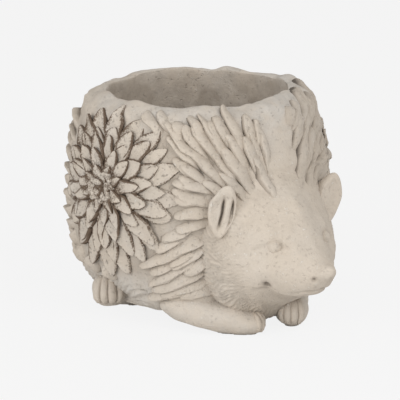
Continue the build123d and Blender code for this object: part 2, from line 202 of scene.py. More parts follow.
def vertex_normals(points, faces):
    """Outward directions at the points of a mesh of quads and caps."""
    quads = quads_of(faces)
    first, second, third, fourth = (points[corner] for corner in quads.T)
    turn = np.cross(third - first, fourth - second)
    normals = np.zeros_like(points)
    for corner in quads.T:
        np.add.at(normals, corner, turn)
    lengths = np.linalg.norm(normals, axis=1)
    return normals / np.maximum(lengths, 1e-9)[:, None]


# Meshes and objects


def into_scene(name, data):
    """A new object, linked into the scene."""
    made = bpy.data.objects.new(name, data)
    bpy.context.scene.collection.objects.link(made)
    return made


def new_mesh(name, points, faces, material, **attributes):
    """A mesh in metres with outward faces and named values on its points."""
    faces = facing_out(points, faces)
    mesh = bpy.data.meshes.new(name)
    mesh.from_pydata((points * MM).tolist(), [], faces)
    mesh.polygons.foreach_set("use_smooth", [True] * len(mesh.polygons))
    for key, values in attributes.items():
        layer = mesh.attributes.new(key, "FLOAT", "POINT")
        layer.data.foreach_set("value", np.asarray(values, np.float32))
    mesh.materials.append(material)
    return mesh


def place(name, node, mesh):
    """Puts a finished mesh in the scene in place of a solid."""
    piece = into_scene(name, mesh)
    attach(piece, "pot")
    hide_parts(node)


def cast(name, node, points, faces, material, **attributes):
    """Makes a mesh of a form and puts it in place of a solid."""
    place(name, node, new_mesh(node, points, faces, material, **attributes))


def points_of(mesh):
    """The points of a mesh, as it stores them."""
    flat = np.empty(len(mesh.vertices) * 3, np.float32)
    mesh.vertices.foreach_get("co", flat)
    return flat.reshape(-1, 3).astype(float)


def reshape(mesh, change):
    """Moves a mesh's points by a function on millimetres and leaves it in metres."""
    moved = change(points_of(mesh))
    mesh.vertices.foreach_set("co", (moved * MM).astype(np.float32).ravel())
    mesh.update()


def lay_on_shell(mesh, change, side):
    """Reshapes flat forms onto the shell; the right side is a mirror image."""
    reshape(mesh, change)
    if side == RIGHT:
        mesh.flip_normals()


def join_meshes(name, meshes):
    """One mesh from several, with the values on their points."""
    if len(meshes) == 1:
        return meshes[0]
    holders = [into_scene(name, mesh) for mesh in meshes]
    with bpy.context.temp_override(
        active_object=holders[0], object=holders[0], selected_objects=holders,
        selected_editable_objects=holders,
    ):
        bpy.ops.object.join()
    joined = holders[0].data
    bpy.data.objects.remove(holders[0])
    return joined


# Shell geometry


def shell_radius(height):
    """Outer radius of the bare shell: an oval below the belly, a wide arc above it."""
    above = np.clip(height - BELLY_HEIGHT, 0, UPPER_CURVE)
    below = np.clip((BELLY_HEIGHT - height) / (BELLY_HEIGHT - BASE_HEIGHT), 0, 1)
    upper = BELLY_RADIUS - UPPER_CURVE + np.sqrt(UPPER_CURVE**2 - above**2)
    lower = BASE_RADIUS + (BELLY_RADIUS - BASE_RADIUS) * np.sqrt(1 - below**2)
    return np.where(height >= BELLY_HEIGHT, upper, lower)


def from_head(x, forward, z):
    """A point given sideways, forwards of the pot's axis, and up."""
    return np.stack(np.broadcast_arrays(x, AXIS_Y - np.asarray(forward), z), axis=-1)


def wrap(flat, centre, side, under=None):
    """Lays flat points on the shell: arc from the centre angle, height, and height off the skin."""
    arc, height, off = flat.T
    height = np.clip(height, BASE_HEIGHT + 0.5, RIM_HEIGHT + 3)
    radius = shell_radius(height)
    step = 0.5
    slope = (shell_radius(height + step) - shell_radius(height - step)) / (2 * step)
    angle = math.radians(centre) + arc / radius
    outward = np.stack([side * np.sin(angle), -np.cos(angle)], axis=1)
    if under is not None:
        radius = np.maximum(radius, under(outward, height))
    radius = radius - LIP_TUCK * ease(height, LIP_FOOT - 2, RIM_HEIGHT + 1)
    lean = 1 / np.hypot(1, slope)
    plan = outward * (radius + off * lean)[:, None]
    return np.column_stack([plan[:, 0], AXIS_Y + plan[:, 1], height - off * slope * lean])


def from_flower(arc, height, centre):
    """Distance from the middle of the flower, for a flat point of a group."""
    radius = shell_radius(height)
    turn = abs(math.radians(centre) - abs(arc) / radius) if centre > 90 else abs(arc) / radius
    return np.hypot((turn - math.radians(FLOWER_ANGLE)) * radius, height - FLOWER_HEIGHT)


# Finishes


class Value:
    """A socket in a node tree: sums, differences and products add Math nodes."""

    def __init__(self, tree, socket=None):
        self.tree = tree
        self.socket = socket

    def node(self, kind, settings=None, inputs=None, output=0):
        """Adds a node: its settings first, then the values or links of its sockets."""
        made = self.tree.nodes.new(kind)
        for key, setting in (settings or {}).items():
            if key == "stops":
                low, high = setting
                made.color_ramp.elements[0].position = low
                made.color_ramp.elements[1].position = high
            else:
                setattr(made, key, setting)
        for key, given in (inputs or {}).items():
            if isinstance(given, Value):
                given.into(made.inputs[key])
            else:
                made.inputs[key].default_value = given
        return Value(self.tree, made.outputs[output])

    def into(self, socket):
        """Links the value to a socket."""
        self.tree.links.new(self.socket, socket)

    def maths(self, operation, first, second):
        return self.node("ShaderNodeMath", {"operation": operation}, {0: first, 1: second})

    def __add__(self, other):
        return self.maths("ADD", self, other)

    def __sub__(self, other):
        return self.maths("SUBTRACT", self, other)

    def __rsub__(self, other):
        return self.maths("SUBTRACT", other, self)

    def __mul__(self, other):
        return self.maths("MULTIPLY", self, other)

    __radd__ = __add__
    __rmul__ = __mul__

    def between(self, low, high):
        """0 below low, 1 above high."""
        return self.node("ShaderNodeValToRGB", {"stops": (low, high)}, {"Fac": self})

    def attribute(self, name):
        """A value that a mesh keeps on its points; 0 where it has none."""
        return self.node("ShaderNodeAttribute", {"attribute_name": name}, output=2)

    def noise(self, where, size, detail, rough):
        """Cloudy noise with patches of about the given size in millimetres."""
        values = {"Vector": where, "Scale": 1 / (size * MM), "Detail": detail, "Roughness": rough}
        return self.node("ShaderNodeTexNoise", None, values)

    def tint(self, base, over, share):
        """A colour laid over another by a share; sockets 0, 6 and 7 are share and colours."""
        return self.node("ShaderNodeMix", {"data_type": "RGBA"}, {0: share, 6: base, 7: over}, 2)

    def bump(self, height, strength, distance):
        """A normal from a height; the distance is in millimetres."""
        values = {"Strength": strength, "Distance": distance * MM, "Height": height}
        return self.node("ShaderNodeBump", None, values)


def new_finish(name):
    """A material, its principled shader, and a maker of nodes in its tree."""
    material = bpy.data.materials.new(name)
    material.use_nodes = True
    shader = material.node_tree.nodes["Principled BSDF"]
    return material, shader, Value(material.node_tree)


def cement_finish(name, bloom, shade_and_wear_amount, grain, pores, crease=0.0, wash=0.0):
    """Cast cement: pale bloom in patches, grit, pale specks painted as tiny highlights and dark pores,
    painted shade where the mesh marks hollows (with rim wear on the shell), darkest in deep creases; wash
    adds a brown stain where the mesh asks for it."""
    material, shader, make = new_finish(name)
    where = make.node("ShaderNodeTexCoord", output=3)
    hollow = make.attribute("hollow")
    patches = make.noise(where, 26.0, 5.0, 0.62)
    cloud = make.noise(where, 7.0, 4.0, 0.6)
    sand = make.noise(where, 0.9, 3.0, 0.6)
    pits = make.noise(where, 2.1, 2.0, 0.5)
    pale_share = make.attribute("pale") * cloud.between(0.25, 0.6)
    pit_share = pits.between(0.62, 0.72)
    highlight_specks = (1 - pits).between(0.64, 0.73)
    colour = CLAY
    for over, share in (
        (BLOOM, patches.between(0.42, 0.68) * bloom + pale_share),
        (GRIT_AND_SHADE, sand.between(0.52, 0.8) * 0.22),
        (PORE_AND_SHADE, pit_share * pores),
        (GRIT_AND_SHADE, cloud.between(0.46, 0.74) * 0.17),
        # Painted highlights: tiny pale specks
        (HIGHLIGHT_SPECK, highlight_specks * 0.55),
        # Painted shade where the mesh's values mark hollows, darkest in the deepest ones; on the shell
        # these values also carry rim wear and a darker spot
        (GRIT_AND_SHADE, hollow * (cloud.between(0.2, 0.7) * 0.5 + 0.5) * shade_and_wear_amount),
        (PORE_AND_SHADE, hollow.between(0.60, 0.95) * shade_and_wear_amount * crease),
    ):
        colour = make.tint(colour, over, share)
    if wash:
        stain = make.attribute("wash") * 0.6 + (cloud - 0.5) * 0.55 + (sand - 0.5) * 1.0
        colour = make.tint(colour, WASH, stain.between(0.26, 0.50) * wash)
    relief = cloud * 0.9 + sand * 0.5 - pit_share * 0.8 + highlight_specks * 0.5 + patches * 0.5
    colour.into(shader.inputs["Base Color"])
    (0.97 - patches * 0.14).into(shader.inputs["Roughness"])
    make.bump(relief, 0.55, grain).into(shader.inputs["Normal"])
    shader.inputs["Specular IOR Level"].default_value = 0.25
    return material


def rubber_finish():
    """Black rubber with dust on it."""
    material, shader, make = new_finish("plug_rubber")
    dust = make.noise(make.node("ShaderNodeTexCoord", output=3), 4.0, 5.0, 0.65)
    colour = make.tint(RUBBER, RUBBER_DUST, dust.between(0.45, 0.75))
    colour.into(shader.inputs["Base Color"])
    (0.5 + dust * 0.35).into(shader.inputs["Roughness"])
    make.bump(dust, 0.3, 0.3).into(shader.inputs["Normal"])
    return material


shell_cement = cement_finish("shell_cement", bloom=0.55, shade_and_wear_amount=0.66, grain=1.4, pores=0.16)
skin_cement = cement_finish("skin_cement", bloom=0.22, shade_and_wear_amount=0.8, grain=1.1, pores=0.05, crease=0.5)
quill_cement = cement_finish("quill_cement", bloom=0.30, shade_and_wear_amount=0.95, grain=1.6, pores=0.16, crease=0.95)
washed_cement = cement_finish("washed_cement", bloom=0.45, shade_and_wear_amount=0.40, grain=2.4, pores=0.50, wash=0.92)
plug_rubber = rubber_finish()


# Geometry Nodes: one quill, petal, floret or toe on every point, turned and sized by the point


SCATTER_INPUTS = {
    "Points": "Geometry", "Form": "Object", "Finish": "Material", "Size": "Vector",
    "Smallest": "Vector", "Largest": "Vector", "Seed": "Int",
}


def scatter_tree():
    """Sets a form on each point, turned by its facing and sized by length, width and rise."""
    tree = bpy.data.node_groups.new("scatter_forms", "GeometryNodeTree")
    for name, kind in SCATTER_INPUTS.items():
        tree.interface.new_socket(name, in_out="INPUT", socket_type=f"NodeSocket{kind}")
    tree.interface.new_socket("Forms", in_out="OUTPUT", socket_type="NodeSocketGeometry")
    make = Value(tree)
    sockets = tree.nodes.new("NodeGroupInput").outputs
    given = {name: Value(tree, sockets[name]) for name in SCATTER_INPUTS}
    vectors = {"data_type": "FLOAT_VECTOR"}
    facing, share = (
        make.node("GeometryNodeInputNamedAttribute", vectors, {"Name": name})
        for name in ("facing", "share")
    )
    limits = {0: given["Smallest"], 1: given["Largest"], "Seed": given["Seed"]}
    size = given["Size"]
    for factor in (make.node("FunctionNodeRandomValue", vectors, limits), share):
        size = make.node("ShaderNodeVectorMath", {"operation": "MULTIPLY"}, {0: size, 1: factor})
    form = make.node("GeometryNodeObjectInfo", None, {"Object": given["Form"]}, "Geometry")
    setting = {"Points": given["Points"], "Instance": form, "Rotation": facing, "Scale": size}
    forms = make.node("GeometryNodeInstanceOnPoints", None, setting)
    real = make.node("GeometryNodeRealizeInstances", None, {0: forms})
    finished = {"Geometry": real, "Material": given["Finish"]}
    make.node("GeometryNodeSetMaterial", None, finished).into(tree.nodes.new("NodeGroupOutput").inputs[0])
    return tree


SCATTER = scatter_tree()


def scatter(name, form, finish, spots, facing, size, vary, seed, share=(1, 1, 1)):
    """The forms on all spots as one plain mesh, still in the spots' own flat space."""
    stock = bpy.data.meshes.new(name)
    stock.from_pydata(np.asarray(spots).tolist(), [], [])
    for key, rows in (("facing", facing), ("share", np.broadcast_to(share, (len(spots), 3)))):
        layer = stock.attributes.new(key, "FLOAT_VECTOR", "POINT")
        layer.data.foreach_set("vector", np.asarray(rows, np.float32).ravel())
    holder = into_scene(name, stock)
    modifier = holder.modifiers.new("forms", "NODES")
    modifier.node_group = SCATTER
    values = {
        "Form": form,
        "Finish": finish,
        "Size": size,
        "Smallest": tuple(1 - amount for amount in vary),
        "Largest": tuple(1 + amount for amount in vary),
        "Seed": seed,
    }
    for socket in SCATTER.interface.items_tree:
        if socket.name in values:
            modifier[socket.identifier] = values[socket.name]
    bpy.context.view_layer.update()
    graph = bpy.context.evaluated_depsgraph_get()
    mesh = bpy.data.meshes.new_from_object(holder.evaluated_get(graph))
    bpy.data.objects.remove(holder)
    bpy.data.meshes.remove(stock)
    mesh.name = name
    return mesh


def stock_form(name, points, rings, **attributes):
    """A form for scattering, kept out of the scene; its unit is the size it is given."""
    points = np.asarray(points, float)
    faces = tube_faces(rings, len(points) // rings, True)
    return bpy.data.objects.new(name, new_mesh(name, points / MM, faces, quill_cement, **attributes))


# Across and up, round the top of a quill
QUILL_SECTION = [
    (-1, 0.05), (-1, 0.75), (-0.92, 0.97), (-0.74, 1),
    (0, 0.97), (0.66, 0.86), (0.93, 0.6), (1, 0.05),
]
# Share along, half width, crown and underside of a quill, from root to tip
QUILL_PROFILE = [
    (0.00, 0.30, -1.0, -1.8), (0.12, 0.42, -0.2, -1.8), (0.30, 0.50, 0.50, -1.7),
    (0.52, 0.52, 0.85, -1.5), (0.72, 0.47, 1.00, -1.3), (0.87, 0.39, 1.00, -1.1),
    (0.96, 0.28, 0.88, -0.9), (1.00, 0.16, 0.55, -0.7),
]
# Share along and half width of a petal, and how far across its edges lie
PETAL_PROFILE = [
    (0.0, 0.22), (0.14, 0.36), (0.32, 0.47), (0.52, 0.50),
    (0.70, 0.45), (0.85, 0.32), (0.95, 0.17), (1.0, 0.06),
]
PETAL_TOP = (-1.0, -0.90, -0.72, -0.40, 0.0, 0.40, 0.72, 0.90, 1.0)
PETAL_UNDERSIDE = (1.06, 0.6, 0.0, -0.6, -1.06)


def quill_form():
    """A clay strip from root to tip, higher along one edge."""
    points = []
    # Painted shade: darker down the strip's sides and on its underside
    hollow = []
    for along, half_width, crown, under in QUILL_PROFILE:
        for across, up in QUILL_SECTION:
            points.append((along, across * half_width, under + (crown - under) * (0.3 + 0.7 * up)))
            hollow.append((1 - up) ** 0.6)
        for across in (0.8, -0.8):
            points.append((along, across * half_width, under))
            hollow.append(1.0)
    return stock_form("quill_strip", points, len(QUILL_PROFILE), hollow=hollow)


def petal_form():
    """A pointed petal hollowed between raised edges, thick enough to bed on what is under it."""
    points = []
    # Painted shade: darker towards the petal's root and on its underside
    hollow = []
    wash = []
    for along, half in PETAL_PROFILE:
        lift = 0.15 + 0.30 * along - 0.30 * along**3
        swell = math.sin(math.pi * min(1.0, 0.15 + 0.78 * along))
        for across in PETAL_TOP:
            edge = abs(across)
            cup = 0.50 * min(edge / 0.90, 1) ** 2.6 * swell
            shoulder = 0.30 if edge > 0.95 else 0.0
            points.append((along, across * half, lift + cup - shoulder))
            hollow.append(0.6 * (1 - along))
            wash.append(max(float(ease(edge, 0.62, 0.88)), 0.95 - 1.6 * along))
        for across in PETAL_UNDERSIDE:
            points.append((along, across * half, lift - 0.7 + 0.2 * abs(across)))
            hollow.append(1.0)
            wash.append(1.0)
    return stock_form("petal", points, len(PETAL_PROFILE), hollow=hollow, wash=wash)


quill_strip = quill_form()
flower_petal = petal_form()


# Pot shell


SHELL_AROUND = 288
# A darker round spot inside the wall, and the dent in the belly beside each hind paw
INNER_DARK_SPOT = (38.0, 63.0, 115.0)
INNER_DARK_RADIUS = 8.0
PAW_DENT = (61.0, 25.0, 13.0)
DENT_RADIUS = 17.0
DENT_DEPTH = 4.5
# Strokes low on the belly: arc and height of the middle they run round, waves to a millimetre,
# depth, and the heights where they begin and end
STROKE_MIDDLE = (72, 6)
STROKE_PITCH = 1.25
STROKE_DEPTH = 0.75
STROKES_BEGIN = (9, 13)
STROKES_END = (24, 34)
# Heights over which painted shade, bloom and wear come and go, and half widths of the parting left free
# of painted shade
FLANK_SHADE_START = (26, 40)
FLANK_SHADE_END = (118, 130)
RIM_BLOOM = (118, 132)
RIM_WORN = (120, 134)
FOOT_BLOOM = (24, 44)
PARTING_UNSHADED = (84, 92)
PARTING_HALF = (12, 24)


def pot_profile():
    """Radius and height round the shell's section, from the foot out, up and back inside."""
    turns = np.radians(np.linspace(0, 90, 46))
    foot = np.column_stack(
        [
            BASE_RADIUS + (BELLY_RADIUS - BASE_RADIUS) * np.sin(turns),
            BELLY_HEIGHT - (BELLY_HEIGHT - BASE_HEIGHT) * np.cos(turns),
        ]
    )
    heights = np.linspace(BELLY_HEIGHT, LIP_FOOT, 40)[1:-1]
    flank = np.column_stack([shell_radius(heights), heights])
    lip = curve_through(
        [
            (float(shell_radius(LIP_FOOT)), LIP_FOOT),
            (RIM_RADIUS - 0.8, RIM_HEIGHT - 3.6),
            (RIM_RADIUS - 4.0, RIM_HEIGHT - 1.6),
            (MOUTH_RADIUS + 3.2, RIM_HEIGHT - 0.2),
            (MOUTH_RADIUS + 0.8, RIM_HEIGHT - 0.5),
            (MOUTH_RADIUS + 0.1, RIM_HEIGHT - 1.5),
            (MOUTH_RADIUS, LIP_FOOT),
        ],
        24,
    )
    wall = np.linspace((MOUTH_RADIUS, LIP_FOOT), (FLOOR_RADIUS, FLOOR_TOP + 4), 50)[1:]
    bottom = np.linspace((FLOOR_RADIUS - 4, FLOOR_TOP), (DRAIN_RADIUS, FLOOR_TOP), 16)
    bore = np.linspace((DRAIN_RADIUS, FLOOR_TOP - 2), (DRAIN_RADIUS, BASE_HEIGHT), 6)
    sole = np.linspace((DRAIN_RADIUS, BASE_HEIGHT), (BASE_RADIUS, BASE_HEIGHT), 18)[1:-1]
    return np.vstack([foot, flank, lip, wall, bottom, bore, sole])


def pot_shade_and_wear(points, plan, outside, grooves):
    """Painted shade and bloom of the shell: painted shade on the flanks between the quills, in the
    belly's stroke grooves and inside the pot, wear on the rim, a darker spot inside the wall, and bloom
    on the rim and the foot.
    """
    height = points[:, 2]
    inside = (plan < MOUTH_RADIUS + 0.5) & (height > FLOOR_TOP - 2)
    # Painted shade on the flanks, where the shell shows between the quills, and inside the pot, lighter
    # towards the rim
    hollow = np.where(outside, 0.75 * ease(height, *FLANK_SHADE_START) * (1 - ease(height, *FLANK_SHADE_END)), 0.0)
    hollow += np.where(inside, 1 - 0.5 * ease(height, RIM_HEIGHT - 12, RIM_HEIGHT), 0.0)
    # No painted shade on the smooth parting above the face
    parting = 1 - ease(np.abs(points[:, 0]), *PARTING_HALF)
    parting = np.where(points[:, 1] < AXIS_Y, parting, 0.0)
    hollow *= 1 - parting * outside * ease(height, *PARTING_UNSHADED)
    # Painted shade in the grooves of the belly strokes
    hollow += 0.6 * grooves
    facing_front = 0.5 - 0.5 * (points[:, 1] - AXIS_Y - 0.5 * points[:, 0]) / RIM_RADIUS
    bloom = ease(height, *RIM_BLOOM) * (0.2 + 0.4 * np.clip(facing_front, 0, 1))
    pale = np.where(inside, 0.0, bloom)
    pale += np.where(outside, 0.4 * (1 - ease(height, *FOOT_BLOOM)), 0.0)
    worn = ease(height, *RIM_WORN) * (0.5 + 0.5 * np.clip(waves(points, 9, 16), -1, 1))
    hollow += np.where(inside, 0.0, 0.30 * worn)
    # A darker round spot inside the wall
    hollow += 0.45 * np.where(inside, ease(mound(points, INNER_DARK_SPOT, INNER_DARK_RADIUS), 0.2, 0.5), 0.0)
    return {"hollow": hollow, "pale": pale}


def pot_shell():
    """The pot with uneven walls, a swaying rim, and strokes and dents low on the belly."""
    profile = pot_profile()
    turns = full_turn(SHELL_AROUND)
    radius, tall = (column[:, None] * np.ones(SHELL_AROUND) for column in profile.T)
    points = np.stack([radius * np.sin(turns), AXIS_Y - radius * np.cos(turns), tall], axis=-1)
    points = points.reshape(-1, 3)
    faces = facing_out(points, tube_faces(len(profile), SHELL_AROUND, False))
    normals = vertex_normals(points, faces)
    height = points[:, 2]
    plan = np.hypot(points[:, 0], points[:, 1] - AXIS_Y)
    outside = (plan > shell_radius(height) - 1.5) & (height > BASE_HEIGHT + 1)
    off_drain = ease(plan, DRAIN_RADIUS + 6, DRAIN_RADIUS + 14)
    lumps = 0.55 * waves(points, 26, 11) + 0.22 * waves(points, 8, 12)
    arc = np.arctan2(-points[:, 0], AXIS_Y - points[:, 1]) * plan
    ripple = STROKE_PITCH * np.hypot(arc - STROKE_MIDDLE[0], height - STROKE_MIDDLE[1])
    stroke = np.sin(ripple + 2.0 * waves(points, 18, 15))
    stroked = outside * (1 - ease(height, *STROKES_END)) * ease(height, *STROKES_BEGIN)
    lumps += STROKE_DEPTH * stroke * stroked
    for side in SIDES.values():
        dent = mound(points, (side * PAW_DENT[0], *PAW_DENT[1:]), DENT_RADIUS)
        lumps -= DENT_DEPTH * outside * dent
    points += normals * (lumps * off_drain)[:, None]
    ring = np.column_stack([points[:, 0], points[:, 1] - AXIS_Y, np.zeros(len(points))])
    sway = 1.2 * waves(ring, 62, 13) + 0.8 * waves(ring, 21, 14)
    points[:, 2] += sway * ease(height, RIM_HEIGHT - 24, RIM_HEIGHT)
    shell_shade_and_wear = pot_shade_and_wear(points, plan, outside, stroked * np.clip(-stroke, 0, 1))
    cast("shell", "pot_shell", points, faces, shell_cement, **shell_shade_and_wear)


pot_shell()


# Head


HEAD_RINGS = 190
HEAD_AROUND = 260
# Reach, half width, height of the widest line, rise above it, drop below it, fullness
HEAD_STATIONS = [
    (60.0, 45.0, 58.0, 46.0, 51.0, 2.0),
    (66.0, 45.5, 57.0, 46.0, 52.5, 2.0),
    (73.0, 45.0, 56.0, 45.0, 49.0, 2.0),
    (80.0, 42.4, 54.0, 42.5, 39.0, 1.9),
    (87.0, 37.2, 51.0, 41.0, 31.5, 1.75),
    (94.0, 31.6, 48.5, 38.0, 26.0, 1.62),
    (101.0, 26.0, 46.5, 32.5, 22.4, 1.58),
    (109.0, 19.8, 45.0, 23.5, 17.0, 1.65),
    (116.0, 14.4, 44.5, 15.0, 13.4, 1.8),
    (122.0, 10.0, 45.4, 9.2, 9.8, 2.0),
    (127.0, 6.6, 47.0, 5.2, 5.6, 2.0),
    (130.0, 3.8, 48.2, 3.2, 3.2, 2.0),
    (131.2, 0.4, 48.6, 0.4, 0.4, 2.0),
]
EYE_REACH = 101.5
EYE_HEIGHT = 60.5
# Sideways, reach and height of soft forms on each side, their radius, and how far they stand out:
# the hollow before the eye, the one behind it, the brow and the cheek
FACE_FORMS = [
    (16.8, EYE_REACH + 4.6, EYE_HEIGHT - 0.5, 4.6, -2.2),
    (24.0, EYE_REACH - 1, EYE_HEIGHT - 7, 6.0, -1.2),
    (19.0, EYE_REACH - 3, EYE_HEIGHT + 8, 6.0, 1.2),
    (32.0, 90.0, 45.0, 13.0, 1.2),
]
# Reach and height of the crease over the eye, from its outer corner to the nose
LID_LINE = [(94.0, 59.3), (97.5, 61.4), (101.0, 64.2), (103.4, 63.8), (105.0, 61.0)]
# Sideways, reach and height along the mouth, from its corner to the middle, and of a nostril
MOUTH_LINE = [
    (24.5, 100.0, 37.5), (20.5, 104.5, 33.0), (15.0, 110.0, 31.0), (8.5, 117.5, 34.0), (0.0, 122.5, 37.0),
]
NOSTRIL = (8.2, 124.5, 44.0)
# Strokes of fur round the cheeks: how many fit a radian, how deep, and where they fade out
FUR_PITCH = 120
FUR_DEPTH = 0.65
FUR_REACH = (72, 96)
FUR_HEIGHT = (72, 90)


def head_points(rings, around):
    """The bare head: oval sections from the collar to the snout."""
    rows = curve_through(HEAD_STATIONS, rings)
    turns = full_turn(around)
    sideways = np.sin(turns)
    upward = np.cos(turns)
    reach, half_width, middle, up, down, full = (column[:, None] for column in rows.T)
    tall = np.where(upward > 0, up, down)
    power = np.where(upward > 0, 2 / full, 1.0)
    x = half_width * np.sign(sideways) * np.abs(sideways) ** power
    z = middle + tall * np.sign(upward) * np.abs(upward) ** power
    return from_head(x, reach * np.ones_like(x), z).reshape(-1, 3)


def head():
    """The head with eye hollows, lid creases, mouth, nostrils, jaw and fur; returns its skin."""
    points = head_points(HEAD_RINGS, HEAD_AROUND)
    faces = facing_out(points, tube_faces(HEAD_RINGS, HEAD_AROUND, True))
    normals = vertex_normals(points, faces)
    forward = AXIS_Y - points[:, 1]
    height = points[:, 2]
    raised = 0.35 * waves(points, 20, 21) + 0.10 * waves(points, 6, 22)
    hollow = np.zeros(len(points))
    for side in SIDES.values():
        for x, reach, z, radius, rise in FACE_FORMS:
            raised += rise * mound(points, from_head(side * x, reach, z), radius)
        line = [from_head(side * x, reach, z) for x, reach, z in MOUTH_LINE]
        mouth = distance_to_line(points, line)
        corner = mound(points, line[0], 2.8)
        nostril = mound(points, from_head(side * NOSTRIL[0], *NOSTRIL[1:]), 1.6)
        raised -= 1.3 * bell(mouth, 1.4) + 2.6 * corner + 1.8 * nostril
        # Painted shade in the mouth line, its corners and the nostrils
        hollow += 0.5 * bell(mouth, 1.2) + corner + nostril
    crease = bell(distance_to_line(np.column_stack([forward, height]), LID_LINE), 0.9)
    lip_reach, lip_height = np.transpose(MOUTH_LINE)[1:]
    lip = np.interp(forward, lip_reach, lip_height)
    under_jaw = ease(lip - height, 0.5, 4.0) * ease(forward, 88, 100) * (1 - ease(forward, 108, 119))
    turn = np.arctan2(points[:, 0], height - FACE_HEIGHT)
    stroke = np.sin(turn * FUR_PITCH + 4.5 * waves(points, 14, 23))
    furry = (1 - ease(forward, *FUR_REACH)) * (1 - ease(height, *FUR_HEIGHT))
    raised += FUR_DEPTH * stroke * furry - 0.7 * crease - 2.6 * under_jaw
    # Painted shade in the lid crease, under the jaw and in the fur grooves
    hollow += 0.32 * crease + 0.35 * under_jaw + 0.35 * furry * np.clip(-stroke, 0, 1)
    points = points + normals * raised[:, None]
    cast("head_skin", "head", points, faces, skin_cement, hollow=np.clip(hollow, 0, 1))
    return BVHTree.FromPolygons(points.tolist(), faces)


head_skin = head()
FAR = 200.0
# Fill between forehead and shell by height; below the forehead and at the rim the strip dives under
FILL_HEIGHTS = [80.0, 87.0, 94.0, 101.0, 108.0, 115.0, 122.0, 129.0, 136.0]
STRIP_CROWN = [-4.0, -1.2, 1.8, 3.2, 1.7, 0.8, 0.1, -1.4, -5.0]
FILL_DEPTHS = np.clip(STRIP_CROWN, 0, None)


def over_head(outward, heights):
    """How far out the head stands at directions from the axis and heights, or 0 off the head."""
    found = np.zeros(len(heights))
    for index, ((x, y), z) in enumerate(zip(outward, heights)):
        start = Vector((x * FAR, AXIS_Y + y * FAR, z))
        spot = head_skin.ray_cast(start, Vector((-x, -y, 0)), FAR)[0]
        if spot is not None:
            found[index] = math.hypot(spot.x, spot.y - AXIS_Y)
    return found


def over_brow(outward, heights):
    """Radius of the shell and head together, with the corner above the forehead filled."""
    outer = np.maximum(shell_radius(heights), over_head(outward, heights))
    ahead = 1 - ease(np.abs(outward[:, 0]), 0.25, 0.50)
    return outer + np.interp(heights, FILL_HEIGHTS, FILL_DEPTHS) * ahead


def cheek_spot(side, reach, height):
    """The point of the head's skin beside a reach and height."""
    start = Vector((side * FAR, AXIS_Y - reach, height))
    return np.array(head_skin.ray_cast(start, Vector((-side, 0, 0)), FAR)[0])


# Quills


DART_TRIES = 5000
# A quill with less room than this share of its length is left out
STUB_SHARE = 0.45
# How far past the flower's edge a quill stops
FLOWER_GAP = 1.0
QUILL_ROLL = {RIGHT: -15.0, LEFT: 18.0}
QUILL_VARY = (0.24, 0.16, 0.25)
LEFT_QUILL_STEP = 5
# Arc from the middle to the first quills by height: the parting slants to the animal's left
PARTING_HEIGHTS = [84, 88, 100, 115, 130, 137]
PARTING_EDGE = {RIGHT: [5.0, 4.5, 3.5, 8.0, 13.0, 14.0], LEFT: [10.0, 12.0, 17.0, 14.0, 9.5, 8.0]}


def throw_darts(seed, side, arcs, heights, pitch, ground, flow):
    """Roots of quills, spread by chance but no closer than a pitch along and across the flow."""
    draw = np.random.default_rng(seed)
    kept = np.empty((0, 3))
    for arc, height in zip(draw.uniform(*arcs, DART_TRIES), draw.uniform(*heights, DART_TRIES)):
        if not ground(arc, height, side):
            continue
        turn = math.radians(flow(arc, height))
        gap = kept[:, :2] - (arc, height)
        along = gap @ (math.sin(turn), math.cos(turn))
        across = gap @ (math.cos(turn), -math.sin(turn))
        if len(kept) and np.min((along / pitch[0]) ** 2 + (across / pitch[1]) ** 2) < 1:
            continue
        kept = np.vstack([kept, (arc, height, turn)])
    return kept


def parting_edge(height, side):
    """How far the smooth parting reaches to one side of the middle."""
    return np.interp(height, PARTING_HEIGHTS, PARTING_EDGE[side])


def face_flow(arc, height):
    """Quills lean away from the middle of the face."""
    return math.degrees(math.atan2(arc, height - FACE_HEIGHT))


def brow_ground(arc, height, side):
    """Above the face, beside the parting, and clear of the flower and the ear."""
    face = (arc / 40) ** 2 + ((height - FACE_HEIGHT) / 21) ** 2
    ear_spot = ((arc - EAR_ARC) / 10) ** 2 + ((height - EAR_HEIGHT) / 15) ** 2
    clear = from_flower(arc, height, 0) > FLOWER_REACH - 2
    return arc > parting_edge(height, side) and face > 1 and clear and ear_spot >= 1


def cheek_ground(arc, height, side):
    """Between the cheek and the flower."""
    start = np.interp(height, [16, 40, 60, 80, 94], [22, 34, 37, 34, 32])
    reach = np.interp(height, [16, 34, 50, 76, 94], [38, 48, 62, 64, 58])
    return start < arc < reach and from_flower(arc, height, 0) > FLOWER_REACH


def cheek_flow(arc, height):
    """Cheek quills sweep back, and down below the ear."""
    return np.interp(height, [20, 35, 50, 65, 76, 94], [100, 112, 128, 124, 104, 72])


def rump_ground(arc, height, side):
    """Behind the flower."""
    near = np.interp(height, [20, 40, 70, 137], [112, 138, 128, 112])
    return arc < near and from_flower(arc, height, 180) > FLOWER_REACH - 2


def rump_flow(arc, height):
    """Rump quills point back beside the flower, up near the rim, and down along the back."""
    beside = np.interp(height, [20, 45, 72, 137], [-140, -120, -90, -50])
    return beside + (-172 - beside) * ease(85 - arc, 0, 85)


def back_flow(arc, height):
    return 180 + arc


def anywhere(arc, height, side):
    return True


